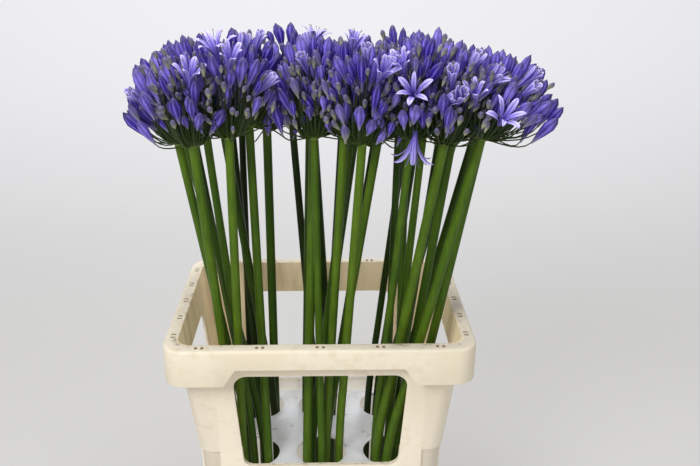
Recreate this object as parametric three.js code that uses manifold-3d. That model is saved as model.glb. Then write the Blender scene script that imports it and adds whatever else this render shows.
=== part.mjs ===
// A windowed flower crate with a holed steel tray, filled with cut agapanthus stems.
// Millimetres, +Z up. The origin is the centre of the crate's underside.
//
// The stems stand on the crate's floor, gather in the six holes of the tray and fan out
// above the rim, where their umbels of pointed buds close into one canopy. Each scape is
// a piece of its own. The umbels of the stems that share a hole have grown into each
// other and are one piece, seated on their scapes.

import * as THREE from 'three';
import { mergeVertices } from 'three/addons/utils/BufferGeometryUtils.js';
import Module from 'manifold-3d';

const wasm = await Module();
wasm.setup();

// Between pieces that touch.
const GAP = 0.3;

// Crate: a tapered tub under a flat rim with a hanging skirt.
const CRATE_HEIGHT = 400;
const RIM = { width: 400, depth: 300, corner: 28, edge: 4, thickness: 3.5 };
const SKIRT = { thickness: 3, cornerDrop: 50.5, middleDrop: 27, cornerLength: 77, slant: 15.5 };
const WALL = 3.5;
const FLOOR = 4;
const BODY_TOP = { width: 372, depth: 272, corner: 24 };
const UPPER_TAPER = Math.tan(THREE.MathUtils.degToRad(6.1));
const LOWER_TAPER = Math.tan(THREE.MathUtils.degToRad(2.5));
const STEP_DROP = 171.5; // the corners step in below this, and the middles stay flush
const STEP_IN = 3.5;
const PANEL = { frontHalf: 136.5, sideHalf: 86.5 };
const WINDOW = { topDrop: 47, bottomDrop: 197, topRadius: 19, bottomRadius: 14, lean: 9 };
const WINDOW_HALF = { front: 114, side: 62 };
const LEDGE = { reach: 10, half: 80, height: 12 };

// Tray: a steel sheet with two rows of round holes, resting on the crate's end ledges.
const TRAY = { width: 315, depth: 215, corner: 26, thickness: 2, topDrop: 213 };
const TRAY_LIP = { height: 14, half: 126 };
const HOLE = { radius: 36, pitchX: 96, pitchY: 60 };

// Scapes: the bare stems.
const SCAPE = { radius: 5.7, length: 650, sides: 5, steps: 6 };
const HOLE_SPREAD = 0.5; // how far the bunch's pattern is drawn together in its hole
const HOLE_REACH = 25; // how far from the hole's middle a stem may pass
const HEAD_FALL = 0.13; // how fast the canopy falls towards the back
const HEAD_JITTER = 3;
const LENGTH_JITTER = 9;
const UPPER_PART = { from: 0.7, step: 0.01 }; // the share of a scape that comes near umbels

// For each hole: how far the bunch's pattern turns between the hole and the heads, in
// degrees, and the tops of its scapes as [x, y]. The front ones crowd in three groups.
const BUNCHES = [
  {
    name: 'umbels_front_left',
    hole: [-1, -1],
    twist: 70,
    heads: [[-170, -80], [-146, -124], [-104, -122], [-134, -84], [-90, -46], [-168, -40]],
  },
  {
    name: 'umbels_back_left',
    hole: [-1, 1],
    twist: -60,
    heads: [[-182, 16], [-130, 8], [-68, 8], [-182, 70], [-124, 64], [-170, 120], [-112, 120]],
  },
  {
    name: 'umbels_front_middle',
    hole: [0, -1],
    twist: -80,
    heads: [[-8, -86], [28, -90], [50, -126], [70, -82], [42, -44], [-6, -42]],
  },
  {
    name: 'umbels_back_middle',
    hole: [0, 1],
    twist: 60,
    heads: [[-12, 18], [50, 18], [-42, 68], [34, 68], [80, 64], [-10, 120]],
  },
  {
    name: 'umbels_front_right',
    hole: [1, -1],
    twist: 75,
    heads: [[106, -128], [143, -128], [190, -118], [125, -86], [165, -80], [112, -44], [205, -48]],
  },
  {
    name: 'umbels_back_right',
    hole: [1, 1],
    twist: -65,
    heads: [[106, 12], [162, 6], [211, 12], [140, 62], [194, 68], [126, 120]],
  },
];

// Umbels: buds on short stalks round a dense heart.
const HEART = { widest: 37, radius: 26, middle: 43, shoulder: 59, shoulderRadius: 20.8, top: 76 };
const HEART_SIDES = 6;
const ROOT = { radius: 18, height: 42, rise: 24 }; // where the florets start inside the heart
const UMBEL = { side: 57, looseSide: 80, centre: 50, top: 124 };
const LOOSE_FROM_TO = [110, 200]; // where, from the middle rightwards, umbels grow looser
const FLORETS = { count: 25, highest: 0.97, lowest: -0.3 }; // as cosines from the umbel's axis
const BUD = { radius: 9.4, bellyToTip: 25, sides: 3 };
const FLOWER = { radius: 21, mouthToTip: 7, throat: 16, petals: 6, notch: 0.45 };
const FLOWER_TUBE = { radius: 3, share: 0.45 };
const FLOWER_SHARE = 0.03;
const CLEARANCE = 1;
const TRY = { count: 14, bend: 0.03, shorten: 0.02 }; // what each new try changes
const BALL_STEP = 4; // between the balls that stand for a piece when clearance is tested

const CREAM = { color: 0xe6dcc4, roughness: 0.55, metalness: 0 };
const STEEL = { color: 0xb4b6ba, roughness: 0.35, metalness: 0.9 };
const GREEN = { color: 0x3d6a26, roughness: 0.5, metalness: 0 };
const VIOLET = { color: 0x5a4bbe, roughness: 0.55, metalness: 0 };

// ---- solids ---------------------------------------------------------------------------

function toSolid(geometry) {
  const bare = geometry.clone();
  bare.deleteAttribute('normal');
  bare.deleteAttribute('uv');
  const merged = mergeVertices(bare, 1e-4);
  return new wasm.Manifold(
    new wasm.Mesh({
      numProp: 3,
      vertProperties: new Float32Array(merged.attributes.position.array),
      triVerts: new Uint32Array(merged.index.array),
    }),
  );
}

function toMesh(name, solid, look) {
  const { vertProperties, triVerts } = solid.getMesh();
  const geometry = new THREE.BufferGeometry();
  geometry.setAttribute('position', new THREE.BufferAttribute(vertProperties, 3));
  geometry.setIndex(new THREE.BufferAttribute(triVerts, 1));
  geometry.computeVertexNormals();
  const mesh = new THREE.Mesh(geometry, new THREE.MeshStandardMaterial(look));
  mesh.name = name;
  return mesh;
}

function union(solids) {
  return solids.reduce((joined, next) => joined.add(next));
}

// Drops loose scraps and fills sealed hollows, which are bodies of their own.
function largestBody(solid) {
  return solid.decompose().reduce((best, body) => (body.volume() > best.volume() ? body : best));
}

// ---- crate and tray -------------------------------------------------------------------

function roundedRectangle(width, depth, corner) {
  const x = width / 2 - corner;
  const y = depth / 2 - corner;
  const quarter = Math.PI / 2;
  return new THREE.Shape()
    .absarc(x, y, corner, 0, quarter)
    .absarc(-x, y, corner, quarter, 2 * quarter)
    .absarc(-x, -y, corner, 2 * quarter, 3 * quarter)
    .absarc(x, -y, corner, 3 * quarter, 4 * quarter);
}

// A block with a rounded-rectangle plan that widens from its lower size to its upper one.
function taperedBlock(lower, upper, bottom, top) {
  const depth = top - bottom;
  const plan = roundedRectangle(lower.width, lower.depth, lower.corner);
  const geometry = new THREE.ExtrudeGeometry(plan, { depth, bevelEnabled: false, curveSegments: 3 });
  const places = geometry.attributes.position;
  const growX = (upper.width - lower.width) / 2;
  const growY = (upper.depth - lower.depth) / 2;
  for (let i = 0; i < places.count; i++) {
    const up = places.getZ(i) / depth;
    places.setX(i, places.getX(i) + Math.sign(places.getX(i)) * growX * up);
    places.setY(i, places.getY(i) + Math.sign(places.getY(i)) * growY * up);
  }
  return toSolid(geometry.translate(0, 0, bottom));
}

function block(width, depth, bottom, top) {
  const geometry = new THREE.BoxGeometry(width, depth, top - bottom);
  return toSolid(geometry.translate(0, 0, (top + bottom) / 2));
}

// The same plan, drawn in or let out by some amount all round.
function inset(size, by) {
  return { width: size.width - 2 * by, depth: size.depth - 2 * by, corner: size.corner };
}

// A prism whose outline is drawn in the X-Z or Y-Z plane, as long as it needs to cut
// through two facing walls.
function throughWalls(outline, alongX) {
  const length = RIM.width + RIM.depth;
  const settings = { depth: length, bevelEnabled: false, curveSegments: 3 };
  const geometry = new THREE.ExtrudeGeometry(outline, settings);
  geometry.translate(0, 0, -length / 2).rotateX(Math.PI / 2);
  return toSolid(alongX ? geometry.rotateZ(Math.PI / 2) : geometry);
}

function windowOutline(half) {
  const top = CRATE_HEIGHT - WINDOW.topDrop;
  const bottom = CRATE_HEIGHT - WINDOW.bottomDrop;
  const corners = [
    { x: half, y: top, radius: WINDOW.topRadius },
    { x: -half, y: top, radius: WINDOW.topRadius },
    { x: -half + WINDOW.lean, y: bottom, radius: WINDOW.bottomRadius },
    { x: half - WINDOW.lean, y: bottom, radius: WINDOW.bottomRadius },
  ];
  const outline = new THREE.Shape();
  corners.forEach((corner, i) => {
    const at = new THREE.Vector2(corner.x, corner.y);
    const towards = (other) =>
      new THREE.Vector2(other.x, other.y).sub(at).setLength(corner.radius).add(at);
    const start = towards(corners[(i + 3) % 4]);
    const end = towards(corners[(i + 1) % 4]);
    if (i === 0) outline.moveTo(start.x, start.y);
    else outline.lineTo(start.x, start.y);
    outline.quadraticCurveTo(at.x, at.y, end.x, end.y);
  });
  return outline.closePath();
}

// What is cut out from under the middle of the skirt, between its deeper corners.
function skirtNotchOutline(half) {
  const low = CRATE_HEIGHT - SKIRT.cornerDrop - 1;
  const high = CRATE_HEIGHT - SKIRT.middleDrop;
  return new THREE.Shape([
    new THREE.Vector2(-half, low),
    new THREE.Vector2(half, low),
    new THREE.Vector2(half - SKIRT.slant, high),
    new THREE.Vector2(-half + SKIRT.slant, high),
  ]);
}

function rim() {
  const plan = roundedRectangle(
    RIM.width - 2 * RIM.edge,
    RIM.depth - 2 * RIM.edge,
    RIM.corner - RIM.edge,
  );
  const geometry = new THREE.ExtrudeGeometry(plan, {
    depth: CRATE_HEIGHT / 2,
    bevelThickness: RIM.edge,
    bevelSize: RIM.edge,
    bevelSegments: 1,
    curveSegments: 4,
  });
  geometry.translate(0, 0, CRATE_HEIGHT / 2 - RIM.edge);
  const hollowPlan = inset(RIM, SKIRT.thickness);
  const skirtBottom = CRATE_HEIGHT - SKIRT.cornerDrop;
  return toSolid(geometry)
    .subtract(taperedBlock(hollowPlan, hollowPlan, 0, CRATE_HEIGHT - RIM.thickness))
    .subtract(block(2 * RIM.width, 2 * RIM.depth, 0, skirtBottom))
    .subtract(throughWalls(skirtNotchOutline(RIM.width / 2 - SKIRT.cornerLength), false))
    .subtract(throughWalls(skirtNotchOutline(RIM.depth / 2 - SKIRT.cornerLength), true));
}

const STEP_HEIGHT = CRATE_HEIGHT - STEP_DROP;
const TRAY_TOP = CRATE_HEIGHT - TRAY.topDrop;
const TRAY_BOTTOM = TRAY_TOP - TRAY.thickness;
const OVERLAP = 1; // how far blocks that are joined, or cut together, run into each other

// The tub's outer size at some height, above and below the step.
function upperBody(height) {
  return inset(BODY_TOP, (CRATE_HEIGHT - height) * UPPER_TAPER);
}

function lowerBody(height) {
  return inset(upperBody(STEP_HEIGHT), (STEP_HEIGHT - height) * LOWER_TAPER);
}

function upperBlock(by, bottom, top) {
  return taperedBlock(inset(upperBody(bottom), by), inset(upperBody(top), by), bottom, top);
}

function lowerBlock(by, bottom, top) {
  return taperedBlock(inset(lowerBody(bottom), by), inset(lowerBody(top), by), bottom, top);
}

// The tub without its hollow: plain corners, with the wall middles standing proud of them
// below the step.
function tub() {
  const stepTop = STEP_HEIGHT + OVERLAP;
  const middles = block(2 * PANEL.frontHalf, RIM.depth, 0, stepTop)
    .add(block(RIM.width, 2 * PANEL.sideHalf, 0, stepTop))
    .intersect(lowerBlock(0, 0, stepTop));
  const upper = upperBlock(0, STEP_HEIGHT, CRATE_HEIGHT - RIM.thickness / 2);
  return union([upper, lowerBlock(STEP_IN, 0, stepTop), middles]);
}

function tubHollow() {
  const shelf = STEP_HEIGHT + WALL; // the web that joins the two walls at the step
  const lower = lowerBlock(STEP_IN + WALL, FLOOR, shelf + OVERLAP);
  return lower.add(upperBlock(WALL, shelf, CRATE_HEIGHT + OVERLAP));
}

// Two ledges inside the end walls carry the tray. Each is sunk half-way into its wall.
function ledge(side) {
  const wallInside = lowerBody(TRAY_BOTTOM).width / 2 - STEP_IN - WALL;
  const outer = wallInside + WALL / 2;
  const top = TRAY_BOTTOM - GAP;
  const solid = block(LEDGE.reach + WALL / 2, 2 * LEDGE.half, top - LEDGE.height, top);
  return solid.translate([side * (outer - (LEDGE.reach + WALL / 2) / 2), 0, 0]);
}

function crate() {
  return largestBody(
    rim()
      .add(tub())
      .subtract(tubHollow())
      .add(ledge(-1))
      .add(ledge(1))
      .subtract(throughWalls(windowOutline(WINDOW_HALF.front), false))
      .subtract(throughWalls(windowOutline(WINDOW_HALF.side), true)),
  );
}

function tray() {
  const sheet = taperedBlock(TRAY, TRAY, TRAY_BOTTOM, TRAY_TOP);
  const lip = block(2 * TRAY_LIP.half, TRAY.thickness, TRAY_TOP - TRAY_LIP.height, TRAY_TOP);
  const lipOffset = TRAY.depth / 2 - TRAY.thickness / 2;
  const bent = union([sheet, lip.translate([0, lipOffset, 0]), lip.translate([0, -lipOffset, 0])]);
  const drill = new THREE.CylinderGeometry(HOLE.radius, HOLE.radius, 4 * TRAY.thickness, 16);
  drill.rotateX(Math.PI / 2).translate(0, 0, TRAY_TOP);
  const holes = [-HOLE.pitchX, 0, HOLE.pitchX].flatMap((x) =>
    [-HOLE.pitchY, HOLE.pitchY].map((y) => toSolid(drill).translate([x, y, 0])),
  );
  return bent.subtract(union(holes));
}

// ---- flowering stems ------------------------------------------------------------------

// The same draws every time (mulberry32).
function seededRandom(seed) {
  let state = seed;
  return () => {
    state = (state + 0x6d2b79f5) | 0;
    let mixed = Math.imul(state ^ (state >>> 15), 1 | state);
    mixed = (mixed + Math.imul(mixed ^ (mixed >>> 7), 61 | mixed)) ^ mixed;
    return ((mixed ^ (mixed >>> 14)) >>> 0) / 4294967296;
  };
}

const random = seededRandom(6);
const around = (spread) => (2 * random() - 1) * spread;
const UP = new THREE.Vector3(0, 0, 1);

// Straight up from the floor to the tray, and then straight out to its umbel.
class ScapeCurve extends THREE.Curve {
  constructor(foot, head) {
    super();
    this.foot = foot;
    this.head = head;
  }

  getPoint(t) {
    const z = THREE.MathUtils.lerp(FLOOR + GAP, this.head.z, t);
    const up = Math.max(0, (z - TRAY_TOP) / (this.head.z - TRAY_TOP));
    return this.foot.clone().lerp(this.head, up).setZ(z);
  }
}

// A bunch's stems pass their hole in the pattern of their heads, drawn together and turned.
function stemsOf({ hole, twist, heads }) {
  const centre = new THREE.Vector3(hole[0] * HOLE.pitchX, hole[1] * HOLE.pitchY, 0);
  const tops = heads.map(
    ([x, y]) => new THREE.Vector3(x + around(HEAD_JITTER), y + around(HEAD_JITTER), 0),
  );
  const middle = tops
    .reduce((sum, top) => sum.add(top), new THREE.Vector3())
    .divideScalar(tops.length);
  return tops.map((top) => {
    const foot = top.clone().sub(middle).multiplyScalar(HOLE_SPREAD).clampLength(0, HOLE_REACH);
    foot.applyAxisAngle(UP, THREE.MathUtils.degToRad(-twist)).add(centre);
    const lean = Math.hypot(top.x - foot.x, top.y - foot.y);
    const leanLoss = lean ** 2 / (2 * (SCAPE.length - TRAY_TOP));
    const length = SCAPE.length - HEAD_FALL * top.y + around(LENGTH_JITTER);
    return new ScapeCurve(foot, top.setZ(FLOOR + GAP + length - leanLoss));
  });
}

function scape(curve) {
  const section = new THREE.Shape(
    Array.from({ length: SCAPE.sides }, (_, i) => {
      const angle = (i / SCAPE.sides) * 2 * Math.PI;
      return new THREE.Vector2(SCAPE.radius * Math.cos(angle), SCAPE.radius * Math.sin(angle));
    }),
  );
  const settings = { steps: SCAPE.steps, extrudePath: curve, bevelEnabled: false };
  return toSolid(new THREE.ExtrudeGeometry(section, settings));
}

// A closed shape turned about the Z axis, from [radius, height] points.
function turned(points, sides) {
  const profile = points.map(([radius, height]) => new THREE.Vector2(radius, height));
  return new THREE.LatheGeometry(profile, sides).rotateX(Math.PI / 2);
}

const HEART_PROFILE = [
  [0, GAP],
  [SCAPE.radius + 1, GAP],
  [HEART.radius, HEART.widest],
  [HEART.shoulderRadius, HEART.shoulder],
  [0, HEART.top],
];

function bud(length) {
  return turned([[0, 0], [BUD.radius, length - BUD.bellyToTip], [0, length]], BUD.sides);
}

// An open floret: a funnel whose rim is notched into six petals.
function openFloret(length) {
  const mouth = length - FLOWER.mouthToTip;
  const geometry = turned(
    [
      [0, 0],
      [FLOWER_TUBE.radius, length * FLOWER_TUBE.share],
      [FLOWER.radius, mouth],
      [0, length - FLOWER.throat],
    ],
    2 * FLOWER.petals,
  );
  const places = geometry.attributes.position;
  for (let i = 0; i < places.count; i++) {
    const isMouth = Math.abs(places.getZ(i) - mouth) < 1e-3;
    const turn = Math.round(Math.atan2(places.getY(i), places.getX(i)) / (Math.PI / FLOWER.petals));
    if (isMouth && turn % 2 !== 0) {
      places.setX(i, places.getX(i) * FLOWER.notch);
      places.setY(i, places.getY(i) * FLOWER.notch);
    }
  }
  return geometry;
}

// Balls that fill a floret or a heart, to test what it would touch.
function ballsAlong(matrix, profile) {
  const balls = [];
  for (let i = 1; i < profile.length; i++) {
    const [r0, z0] = profile[i - 1];
    const [r1, z1] = profile[i];
    const steps = Math.max(1, Math.ceil((z1 - z0) / BALL_STEP));
    for (let k = 1; k <= steps; k++) {
      const at = new THREE.Vector3(0, 0, THREE.MathUtils.lerp(z0, z1, k / steps));
      const radius = THREE.MathUtils.lerp(r0, r1, k / steps);
      balls.push({ centre: at.applyMatrix4(matrix), radius });
    }
  }
  return balls;
}

function touches(balls, others) {
  return balls.some((ball) =>
    others.some((other) => {
      const reach = ball.radius + other.radius + CLEARANCE;
      return ball.centre.distanceToSquared(other.centre) < reach * reach;
    }),
  );
}

// The umbel's own frame stands on the end of its scape and follows its lean.
function umbelFrame(curve) {
  const up = curve.getTangent(1);
  const turn = new THREE.Quaternion().setFromUnitVectors(UP, up);
  return new THREE.Matrix4().compose(curve.head, turn, new THREE.Vector3(1, 1, 1));
}

// From a root inside the heart to a tip on the umbel's outline, wider than high below.
function floretFrame(umbel, angle, turn, side, stretch) {
  const out = new THREE.Vector3(Math.sin(angle) * Math.cos(turn), Math.sin(angle) * Math.sin(turn), 0);
  const root = out.clone().multiplyScalar(ROOT.radius).setZ(ROOT.height + ROOT.rise * Math.cos(angle));
  const rise = (UMBEL.top - UMBEL.centre) * Math.cos(angle);
  const tip = out.clone().multiplyScalar(side).setZ(UMBEL.centre + rise);
  const axis = tip.sub(root).multiplyScalar(stretch);
  const length = axis.length();
  const aim = new THREE.Quaternion().setFromUnitVectors(UP, axis.normalize());
  const local = new THREE.Matrix4().compose(root, aim, new THREE.Vector3(1, 1, 1));
  return { frame: umbel.clone().multiply(local), length };
}

// The bud by which an umbel has grown into the nearest one of its bunch: from heart to heart.
function linkingBud(frame, other) {
  const root = new THREE.Vector3(0, 0, HEART.middle).applyMatrix4(frame);
  const axis = new THREE.Vector3(0, 0, HEART.middle).applyMatrix4(other).sub(root);
  const length = axis.length() - HEART.radius / 2;
  const aim = new THREE.Quaternion().setFromUnitVectors(UP, axis.normalize());
  return { frame: new THREE.Matrix4().compose(root, aim, new THREE.Vector3(1, 1, 1)), length };
}

function floretBalls(placed, isOpen) {
  const girth = isOpen ? FLOWER.radius : BUD.radius;
  const widest = placed.length - (isOpen ? FLOWER.mouthToTip : BUD.bellyToTip);
  return ballsAlong(placed.frame, [[0, 0], [girth, widest], [0, placed.length]]);
}

// Heart and florets. A floret that would touch anything bends or shortens until it is clear.
function umbelSolids({ curve, frame }, obstacles, florets) {
  const loose = THREE.MathUtils.mapLinear(curve.head.x, ...LOOSE_FROM_TO, UMBEL.side, UMBEL.looseSide);
  const side = Math.max(UMBEL.side, loose);
  const golden = Math.PI * (3 - Math.sqrt(5));
  const spin = random() * 2 * Math.PI;
  const solids = [toSolid(turned(HEART_PROFILE, HEART_SIDES).applyMatrix4(frame))];
  const own = [];
  for (let i = 0; i < FLORETS.count; i++) {
    const share = i / (FLORETS.count - 1);
    const wanted = Math.acos(THREE.MathUtils.lerp(FLORETS.highest, FLORETS.lowest, share));
    const isOpen = random() < FLOWER_SHARE;
    for (let attempt = 0; attempt < TRY.count; attempt++) {
      const bend = TRY.bend * (attempt + 1);
      const angle = wanted + around(bend);
      const turn = spin + i * golden + around(bend);
      const placed = floretFrame(frame, angle, turn, side, 1 - TRY.shorten * attempt);
      const balls = floretBalls(placed, isOpen);
      if (touches(balls, obstacles) || touches(balls, florets)) continue;
      const shape = isOpen ? openFloret(placed.length) : bud(placed.length);
      solids.push(toSolid(shape.applyMatrix4(placed.frame)));
      own.push(...balls);
      break;
    }
  }
  florets.push(...own);
  return solids;
}

// ---- the whole ------------------------------------------------------------------------

const group = new THREE.Group();
group.add(toMesh('crate', crate(), CREAM));
group.add(toMesh('stem_tray', tray(), STEEL));

const bunches = BUNCHES.map((bunch) => ({ name: bunch.name, stems: stemsOf(bunch) }));
const scapeBalls = [];
let number = 0;
for (const { stems } of bunches) {
  for (const curve of stems) {
    number += 1;
    group.add(toMesh(`scape_${String(number).padStart(2, '0')}`, scape(curve), GREEN));
    for (let t = UPPER_PART.from; t <= 1; t += UPPER_PART.step) {
      scapeBalls.push({ centre: curve.getPoint(t), radius: SCAPE.radius });
    }
  }
}

// Hearts and linking buds come first. The other florets then keep clear of all of these,
// of the scapes and of each other, apart from the heart that they grow from.
const umbels = bunches.flatMap(({ name, stems }) =>
  stems.map((curve) => {
    const frame = umbelFrame(curve);
    return { name, curve, frame, heart: ballsAlong(frame, HEART_PROFILE) };
  }),
);
const placed = [];
umbels.forEach((umbel, i) => {
  const apart = (other) => other.curve.head.distanceTo(umbel.curve.head);
  const strangers = umbels.filter(({ name }) => name !== umbel.name).flatMap(({ heart }) => heart);
  const inTheWay = [...scapeBalls, ...strangers, ...placed];
  umbel.link = umbels
    .slice(0, i)
    .filter(({ name }) => name === umbel.name)
    .sort((a, b) => apart(a) - apart(b))
    .map((other) => linkingBud(umbel.frame, other.frame))
    .find((link) => !touches(floretBalls(link, false), inTheWay));
  if (umbel.link) placed.push(...floretBalls(umbel.link, false));
});
for (const umbel of umbels) {
  const hearts = umbels.filter((other) => other !== umbel).flatMap((other) => other.heart);
  const solids = umbelSolids(umbel, [...scapeBalls, ...hearts], placed);
  if (umbel.link) solids.push(toSolid(bud(umbel.link.length).applyMatrix4(umbel.link.frame)));
  umbel.solid = union(solids);
}
for (const { name } of bunches) {
  const members = umbels.filter((umbel) => umbel.name === name).map((umbel) => umbel.solid);
  group.add(toMesh(name, largestBody(union(members)), VIOLET));
}

export default group;
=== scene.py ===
# The looks of a flower crate filled with cut agapanthus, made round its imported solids.
# Metres, +Z up, in the solids' own frame: x to the right, y to the back.

import math
import random

import bmesh
import bpy
import numpy as np
from mathutils import Matrix, Vector


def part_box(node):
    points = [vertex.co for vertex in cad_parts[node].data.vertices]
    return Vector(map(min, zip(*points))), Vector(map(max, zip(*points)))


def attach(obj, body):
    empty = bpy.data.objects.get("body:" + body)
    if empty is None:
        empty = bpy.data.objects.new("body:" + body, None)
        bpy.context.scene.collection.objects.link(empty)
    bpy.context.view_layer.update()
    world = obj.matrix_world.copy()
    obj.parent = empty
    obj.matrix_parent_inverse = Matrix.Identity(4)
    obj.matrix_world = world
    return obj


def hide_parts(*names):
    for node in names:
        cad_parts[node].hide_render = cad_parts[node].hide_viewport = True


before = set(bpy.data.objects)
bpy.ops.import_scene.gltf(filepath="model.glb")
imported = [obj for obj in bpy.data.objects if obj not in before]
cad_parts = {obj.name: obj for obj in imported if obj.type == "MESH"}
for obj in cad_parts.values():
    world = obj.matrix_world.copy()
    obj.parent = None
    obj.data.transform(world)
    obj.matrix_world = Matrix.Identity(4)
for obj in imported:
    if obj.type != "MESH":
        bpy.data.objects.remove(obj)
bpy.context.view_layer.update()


# ---- studio ---------------------------------------------------------------------------
# One pale sheet runs along the floor and curves up behind the crate. A large soft light
# hangs to the upper left, weaker ones to the right, above and low in front, and the room
# itself glows evenly.

CAMERA_PLACE = (0.0073, -1.0504, 0.9042)
CAMERA_PITCH = math.radians(21.04)  # down from level
CAMERA_YAW = math.radians(1.83)  # to the right
CAMERA_ROLL = math.radians(0.39)
FRAME_WIDTH, FOCAL_PIXELS, SENSOR = 700, 819, 36

SHEET_WIDTH, SHEET_FRONT, SHEET_BACK, SHEET_HEIGHT = 9.0, -3.0, 2.2, 3.4
SHEET_BEND, SHEET_BEND_STEPS = 0.9, 24
SHEET_PALE, SHEET_GREY = (0.618, 0.620, 0.643, 1), (0.412, 0.408, 0.401, 1)
FADE_FROM, FADE_TO = 0.45, 2.95  # painted shade, from grey to pale over this much depth plus height
SHEET_DARKER, SHEET_GLOW = 0.45, 0.86  # the sheet reflects less and glows more
BLACK = (0, 0, 0, 1)

LIGHTS = (  # name, place, size and power
    ("key", (-1.3, -1.9, 2.3), 1.1, 60),
    ("fill", (1.9, -1.5, 1.5), 1.4, 12),
    ("top", (0.1, 0.2, 2.6), 1.3, 49),
    ("low", (-0.3, -2.6, 0.5), 1.4, 12),
)
LIGHTS_AIM = Vector((0.0, 0.0, 0.6))
ROOM_GLOW, ROOM_STRENGTH = (0.98, 0.98, 1.0, 1), 0.15


def primitive(add, **sizes):
    """Adds a primitive with nothing else selected, and returns its object."""
    bpy.ops.object.select_all(action="DESELECT")
    add(**sizes)
    return bpy.context.object


def stretch(made, scale):
    """Scales a new object, and keeps its scale and place in its mesh."""
    made.scale = scale
    bpy.ops.object.transform_apply(location=True, rotation=False, scale=True)


def put(name, data):
    """Adds an object that shows a mesh or a curve, or is a light or a camera."""
    added = bpy.data.objects.new(name, data)
    bpy.context.scene.collection.objects.link(added)
    return added


def pick(kind, test):
    """In edit mode, selects just the vertices, edges or faces that pass the test."""
    bpy.ops.mesh.select_mode(type=kind)
    bpy.ops.mesh.select_all(action="DESELECT")
    mesh = bpy.context.object.data
    edit = bmesh.from_edit_mesh(mesh)
    elements = {"VERT": edit.verts, "EDGE": edit.edges, "FACE": edit.faces}[kind]
    for element in elements:
        if test(element):
            element.select_set(True)
    bmesh.update_edit_mesh(mesh)


def extrude_up(height):
    """In edit mode, extrudes what is selected straight up."""
    bpy.ops.mesh.extrude_region_move(TRANSFORM_OT_translate={"value": (0, 0, height)})


def upright(edge):
    """Whether an edge runs straight up or down."""
    along = edge.verts[1].co - edge.verts[0].co
    return abs(along.z) > 0.9 * along.length


class Value:
    """A socket in a material. Python's operators on it add Math nodes."""

    def __init__(self, finish, socket):
        self.finish = finish
        self.socket = socket

    def math(self, operation, first, second):
        inputs = {0: first, 1: second}
        return self.finish.node("ShaderNodeMath", {"operation": operation}, inputs)

    def __add__(self, other):
        return self.math("ADD", self, other)

    def __radd__(self, other):
        return self.math("ADD", other, self)

    def __sub__(self, other):
        return self.math("SUBTRACT", self, other)

    def __rsub__(self, other):
        return self.math("SUBTRACT", other, self)

    def __mul__(self, other):
        return self.math("MULTIPLY", self, other)

    def __rmul__(self, other):
        return self.math("MULTIPLY", other, self)


class Finish:
    """One material, put together node by node round its own shader."""

    def __init__(self, name):
        self.material = bpy.data.materials.new(name)
        self.material.use_nodes = True
        self.tree = self.material.node_tree
        self.shader = self.tree.nodes["Principled BSDF"]

    def node(self, kind, settings=None, inputs=None, output=0):
        made = self.tree.nodes.new(kind)
        for name, value in (settings or {}).items():
            setattr(made, name, value)
        self.feed(made, inputs or {})
        return Value(self, made.outputs[output])

    def feed(self, node, inputs):
        for name, value in inputs.items():
            if isinstance(value, Value):
                self.tree.links.new(value.socket, node.inputs[name])
            else:
                node.inputs[name].default_value = value

    def surface(self, inputs):
        """Sets or links the sockets of the material's own shader."""
        self.feed(self.shader, inputs)

    def stored(self, name):
        """The number that a mesh stores for each of its vertices under a name."""
        return self.node("ShaderNodeAttribute", {"attribute_name": name}, output="Fac")

    def coordinate(self, axis):
        """How far along X, Y or Z a point lies, in metres."""
        return self.node("ShaderNodeSeparateXYZ", inputs={"Vector": self.place()}, output=axis)

    def place(self, scale=(1, 1, 1)):
        """Object coordinates, closer together along an axis where its scale is higher."""
        coordinates = self.node("ShaderNodeTexCoord", output="Object")
        return self.node("ShaderNodeMapping", inputs={"Vector": coordinates, "Scale": scale})

    def noise(self, size, scale=(1, 1, 1), detail=3.0):
        """A cloudy pattern from 0 to 1 whose patches are about size across, in metres."""
        inputs = {"Vector": self.place(scale), "Scale": 1 / size, "Detail": detail}
        return self.node("ShaderNodeTexNoise", inputs=inputs, output="Fac")

    def ramp(self, factor, low, high):
        """0 up to low, 1 from high, and a smooth climb between."""
        settings = {"interpolation_type": "SMOOTHSTEP"}
        inputs = {"Value": factor, "From Min": low, "From Max": high}
        return self.node("ShaderNodeMapRange", settings, inputs)

    def blend(self, factor, first, second):
        """Colour first where factor is 0, and second where it is 1."""
        inputs = {0: factor, 6: first, 7: second}
        return self.node("ShaderNodeMix", {"data_type": "RGBA"}, inputs, output=2)

    def layers(self, colour, *over):
        """A colour with others laid over it in turn, each as far as its factor says."""
        for factor, added in over:
            colour = self.blend(factor, colour, added)
        return colour

    def bump(self, height, depth, strength=1.0):
        inputs = {"Height": height, "Distance": depth, "Strength": strength}
        return self.node("ShaderNodeBump", inputs=inputs, output="Normal")

    def apply(self, *pieces):
        for piece in pieces:
            piece.data.materials.clear()
            piece.data.materials.append(self.material)


sheet = primitive(bpy.ops.mesh.primitive_plane_add, size=1)
sheet.name = "studio_sheet"
sheet.location.y = (SHEET_BACK + SHEET_FRONT) / 2
stretch(sheet, (SHEET_WIDTH, SHEET_BACK - SHEET_FRONT, 1))
bpy.ops.object.mode_set(mode="EDIT")
pick("EDGE", lambda edge: all(vertex.co.y > 0 for vertex in edge.verts))
extrude_up(SHEET_HEIGHT)
pick("EDGE", lambda edge: all(v.co.y > 0 and v.co.z < 0.1 for v in edge.verts))
bpy.ops.mesh.bevel(offset=SHEET_BEND, segments=SHEET_BEND_STEPS, affect="EDGES")
bpy.ops.object.mode_set(mode="OBJECT")
bpy.ops.object.shade_smooth()

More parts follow.
